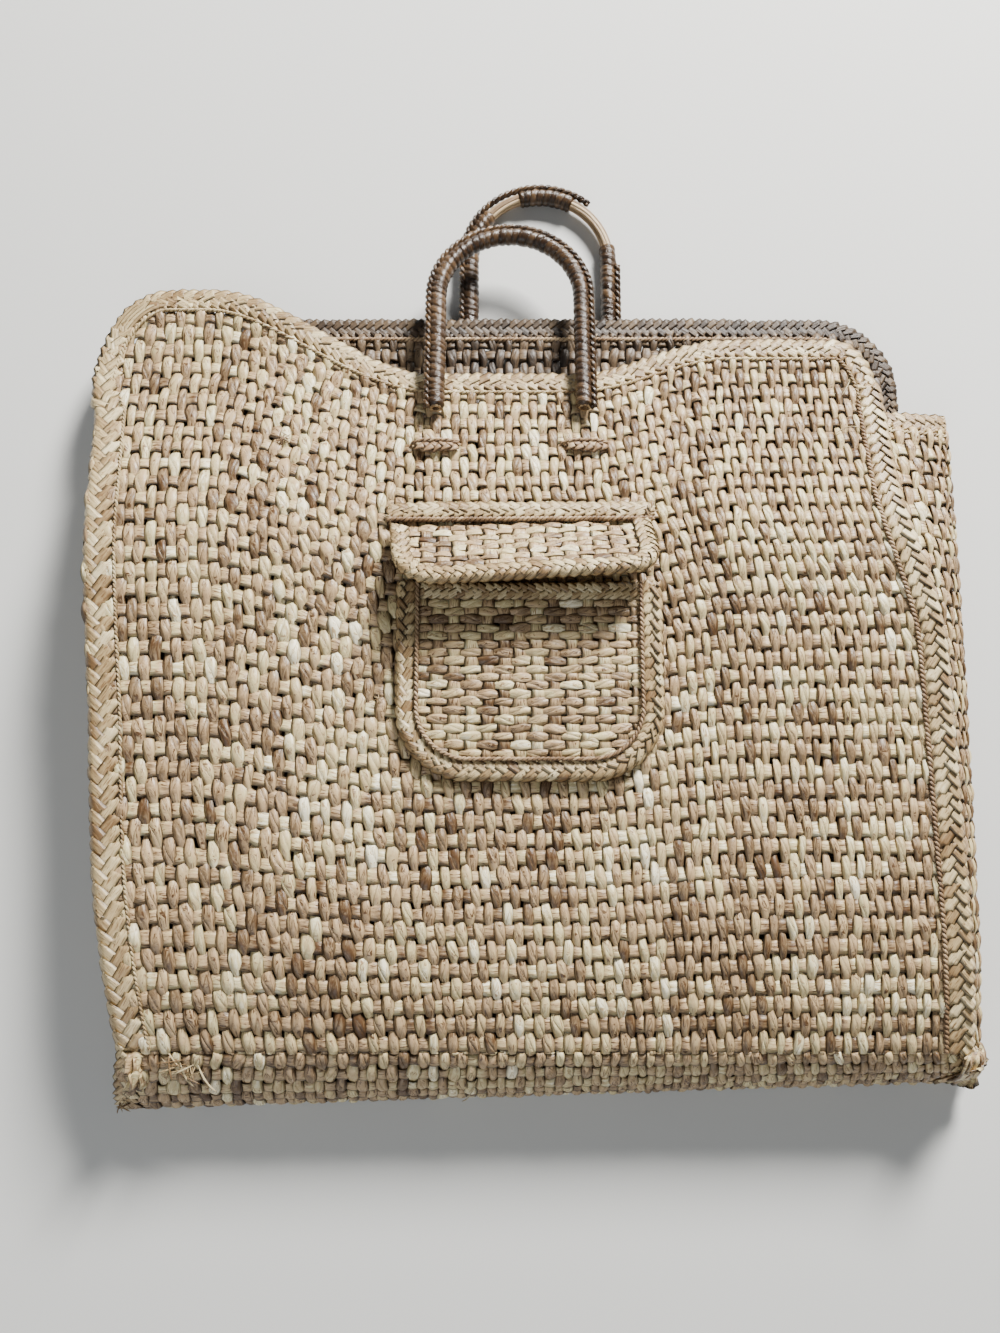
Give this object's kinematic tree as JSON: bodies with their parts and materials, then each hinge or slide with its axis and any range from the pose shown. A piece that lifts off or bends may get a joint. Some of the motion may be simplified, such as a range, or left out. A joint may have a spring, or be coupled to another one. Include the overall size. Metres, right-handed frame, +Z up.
{
  "type": "woven straw tote bag",
  "caption": "Large woven straw tote bag with plaited edges, flapped front pocket, side gussets and wrapped loop handles, lying on its back.",
  "frame": {"origin": "middle of the bag's footprint, on the floor that its back panel lies on", "axes": "+X to the right across the bag, +Y from the base towards the handles, +Z up from the back panel to the front panel"},
  "size_m": [0.5412, 0.598, 0.0947],
  "materials": {
    "woven_straw": "matte natural straw",
    "inner_straw": "matte natural straw in shade",
    "plaited_straw": "matte natural straw",
    "twisted_cord": "matte twisted straw",
    "handle_wrapping": "satin golden brown straw",
    "handle_core": "matte straw bundle"
  },
  "bodies": {
    "shell": {"back_mat": "inner_straw", "back_rim_plait": "plaited_straw", "back_left_plait": "plaited_straw", "back_right_plait": "plaited_straw", "back_rim_cord": "twisted_cord", "base_mat": "inner_straw", "base_left_plait": "plaited_straw", "base_right_plait": "plaited_straw", "right_gusset": "woven_straw", "right_gusset_plait": "plaited_straw", "left_gusset": "inner_straw", "left_gusset_plait": "plaited_straw", "back_tie_left": "twisted_cord", "back_tie_right": "twisted_cord"},
    "front": {"front_mat": "woven_straw", "front_rim_plait": "plaited_straw", "front_left_plait": "plaited_straw", "front_right_plait": "plaited_straw", "front_right_cord": "twisted_cord", "front_tie_left": "twisted_cord", "front_tie_right": "twisted_cord", "pocket_mat": "woven_straw", "pocket_edge_plait": "plaited_straw", "pocket_edge_cord": "twisted_cord", "pocket_mouth_plait": "plaited_straw", "flap_top_plait": "plaited_straw", "flap_top_cord": "twisted_cord"},
    "flap": {"flap_mat": "woven_straw", "flap_edge_plait": "plaited_straw"},
    "front_handle": {"front_handle_core": "handle_core", "front_handle_wrap": "handle_wrapping", "front_handle_ridge": "handle_wrapping"},
    "back_handle": {"back_handle_core": "handle_core", "back_handle_wrap": "handle_wrapping", "back_handle_ridge": "handle_wrapping"}
  },
  "joints": [
    {"name": "mouth_opening", "type": "hinge", "parent": "shell", "child": "front", "pos_m": [0, -0.258, 0.06], "axis": [1, 0, 0], "range_deg": [0, 7], "deforming": ["right_gusset", "right_gusset_plait", "left_gusset", "left_gusset_plait"]},
    {"name": "flap_hinge", "type": "hinge", "parent": "front", "child": "flap", "pos_m": [-0.0005, 0.045, 0.06264], "axis": [-1, 0, 0], "range_deg": [-21, 107]},
    {"name": "front_handle_swing", "type": "hinge", "parent": "front", "child": "front_handle", "pos_m": [-0.0062, 0.122, 0.04359], "axis": [1, 0, 0], "range_deg": [0, 115]},
    {"name": "back_handle_swing", "type": "hinge", "parent": "shell", "child": "back_handle", "pos_m": [0.014, 0.162, 0.0055], "axis": [-1, 0, 0], "range_deg": [0, 115]}
  ]
}
